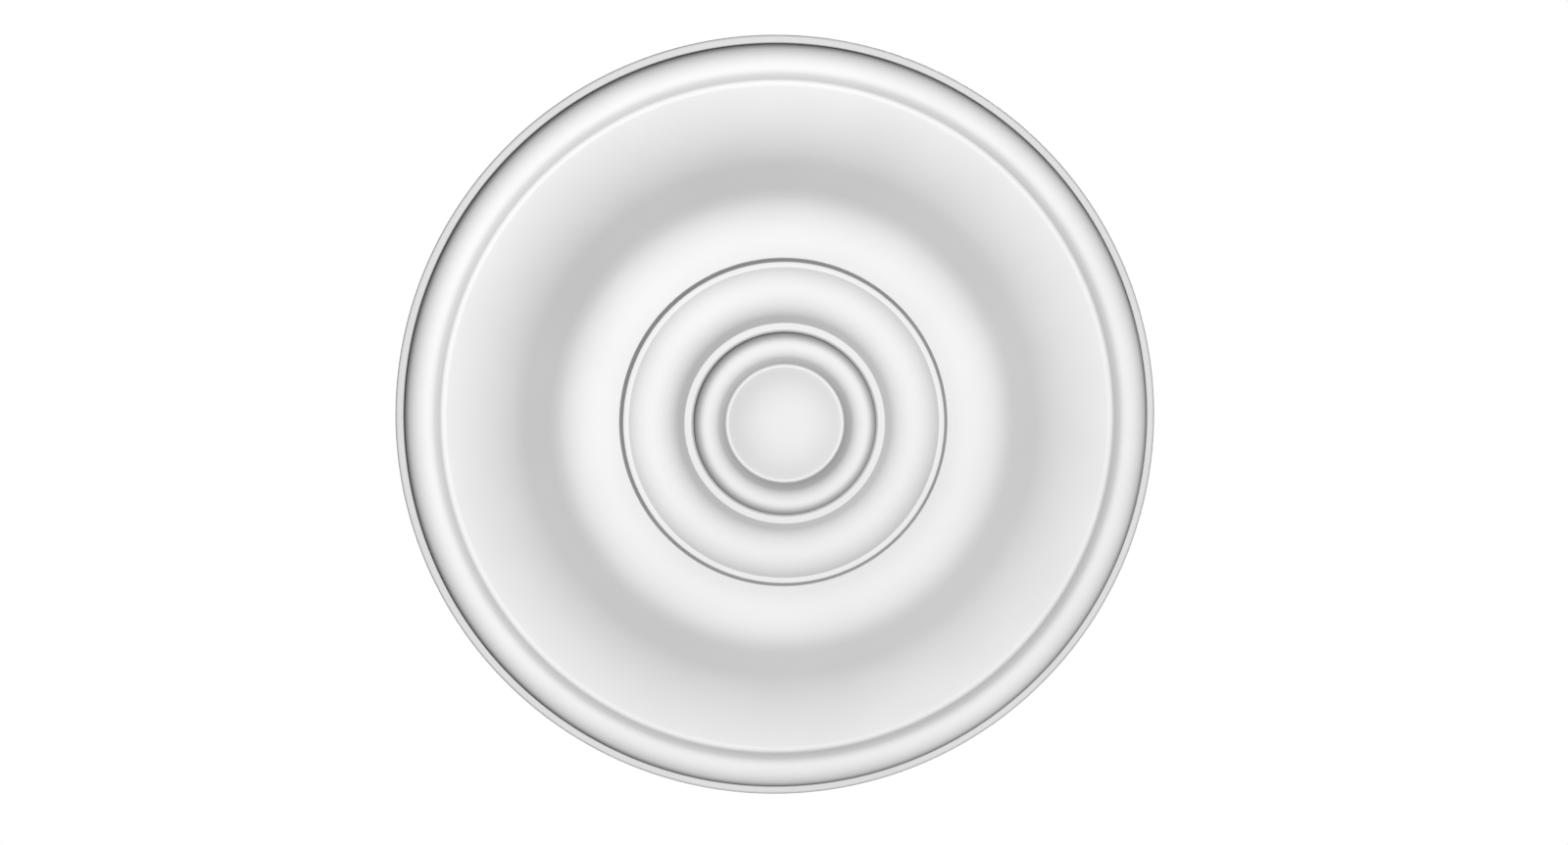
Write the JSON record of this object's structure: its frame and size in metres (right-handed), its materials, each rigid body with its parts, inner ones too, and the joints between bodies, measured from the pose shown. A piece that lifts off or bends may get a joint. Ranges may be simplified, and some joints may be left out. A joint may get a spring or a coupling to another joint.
{
  "type": "ceiling rose",
  "caption": "Plain round ceiling rose with concentric mouldings: beaded rim, deep ogee sweep, cove, inner bead and blank domed disc; flat back for the ceiling.",
  "frame": {"origin": "centre of the flat back, where it meets the ceiling", "axes": "+Z along the rose's axis, up into the ceiling; the mouldings face down, towards -Z"},
  "size_m": [0.5, 0.5, 0.1152],
  "materials": {
    "primed_white": "rigid foam moulding with a matt white primer coat"
  },
  "bodies": {
    "root": {"ceiling_rose": "primed_white"}
  },
  "joints": []
}
